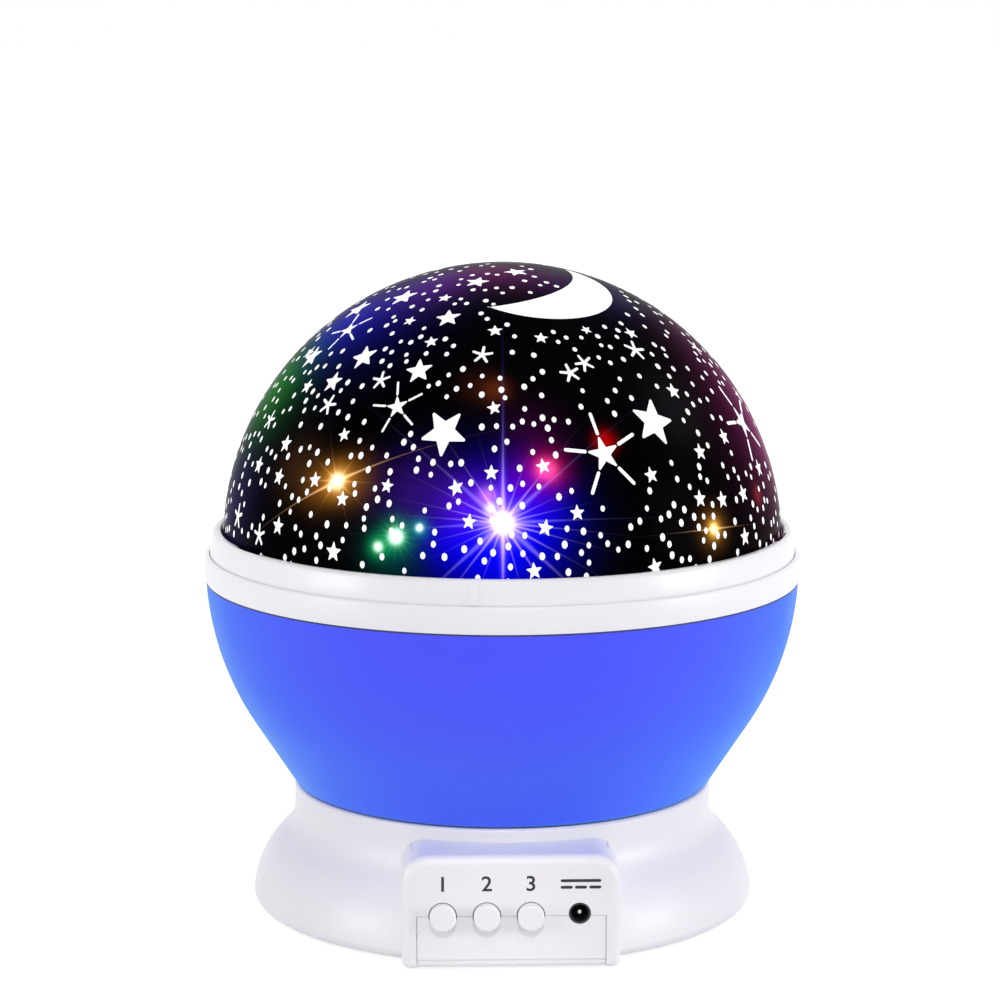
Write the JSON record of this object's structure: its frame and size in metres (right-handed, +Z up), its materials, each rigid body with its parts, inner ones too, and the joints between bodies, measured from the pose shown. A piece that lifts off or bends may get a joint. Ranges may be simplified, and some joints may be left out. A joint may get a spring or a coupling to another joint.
{
  "type": "star night light projector",
  "caption": "Rotating star night light: a star dome over a round bowl that a geared motor turns on a flared base with push buttons and a DC inlet.",
  "frame": {"origin": "centre of the resting plane, under the turning axis", "axes": "+Z up along the turning axis, -Y towards the control panel at the front"},
  "size_m": [0.1306, 0.1306, 0.1412],
  "materials": {
    "white_plastic": "satin moulded",
    "rim_plastic": "glossy moulded",
    "blue_plastic": "satin moulded",
    "dome_plastic": "glossy, star windows in a black print",
    "rubber": "matt",
    "screw_steel": "plated",
    "contact_steel": "nickel plated",
    "circuit_board": "solder mask",
    "black_plastic": "moulded",
    "cell_jacket": "printed sleeve, plain",
    "gear_plastic": "natural acetal",
    "motor_steel": "plain",
    "led_clear": "clear lens",
    "led_blue": "tinted lens",
    "led_green": "tinted lens",
    "led_red": "tinted lens",
    "lead_sleeve": "PVC"
  },
  "bodies": {
    "base": {"base_shell": "white_plastic", "base_floor": "white_plastic", "rubber_feet": "rubber", "floor_screws": "screw_steel", "aaa_cells": "cell_jacket", "battery_contacts": "contact_steel", "control_board": "circuit_board", "push_switches": "black_plastic", "dc_jack": "black_plastic", "jack_pin": "contact_steel", "gearbox": "gear_plastic", "motor": "motor_steel", "pillar": "white_plastic", "pillar_screws": "screw_steel", "thrust_washer": "gear_plastic", "retaining_clip": "screw_steel", "led_holder": "white_plastic", "led_board": "circuit_board", "led_white": "led_clear", "led_blue": "led_blue", "led_green": "led_green", "led_red": "led_red", "led_lead": "lead_sleeve"},
    "battery_door": {"battery_door": "white_plastic"},
    "button_1": {"button_1": "white_plastic"},
    "button_2": {"button_2": "white_plastic"},
    "button_3": {"button_3": "white_plastic"},
    "turntable": {"bowl": "blue_plastic", "ring_gear": "gear_plastic", "gear_screws": "screw_steel", "rim_ring": "rim_plastic", "deck": "white_plastic", "deck_screws": "screw_steel"},
    "pinion": {"drive_pinion": "gear_plastic", "output_shaft": "motor_steel"},
    "lock_ring": {"lock_ring": "rim_plastic"},
    "dome": {"dome": "dome_plastic"}
  },
  "joints": [
    {"name": "turntable_spin", "type": "hinge", "parent": "base", "child": "turntable", "pos_m": [0, 0, 0.03], "axis": [0, 0, 1], "continuous": true},
    {"name": "pinion_spin", "type": "hinge", "parent": "base", "child": "pinion", "pos_m": [-0.03, 0, 0.03], "axis": [0, 0, 1], "continuous": true},
    {"name": "battery_door_hinge", "type": "hinge", "parent": "base", "child": "battery_door", "pos_m": [0, -0.0152, 0.00135], "axis": [-1, 0, 0], "range_deg": [0, 85]},
    {"name": "button_1_press", "type": "slide", "parent": "base", "child": "button_1", "axis": [0, 1, 0], "range_m": [0, 0.0015], "stiffness_N_per_m": 400, "springref_m": -0.001},
    {"name": "button_2_press", "type": "slide", "parent": "base", "child": "button_2", "axis": [0, 1, 0], "range_m": [0, 0.0015], "stiffness_N_per_m": 400, "springref_m": -0.001},
    {"name": "button_3_press", "type": "slide", "parent": "base", "child": "button_3", "axis": [0, 1, 0], "range_m": [0, 0.0015], "stiffness_N_per_m": 400, "springref_m": -0.001},
    {"name": "lock_ring_turn", "type": "hinge", "parent": "turntable", "child": "lock_ring", "pos_m": [0, 0, 0.0815], "axis": [0, 0, 1], "range_deg": [0, 18]},
    {"name": "dome_lift", "type": "slide", "parent": "turntable", "child": "dome", "axis": [0, 0, 1], "range_m": [0, 0.075]}
  ],
  "couplings": [
    {"joint": "pinion_spin", "follows": "turntable_spin", "ratio": 6}
  ]
}
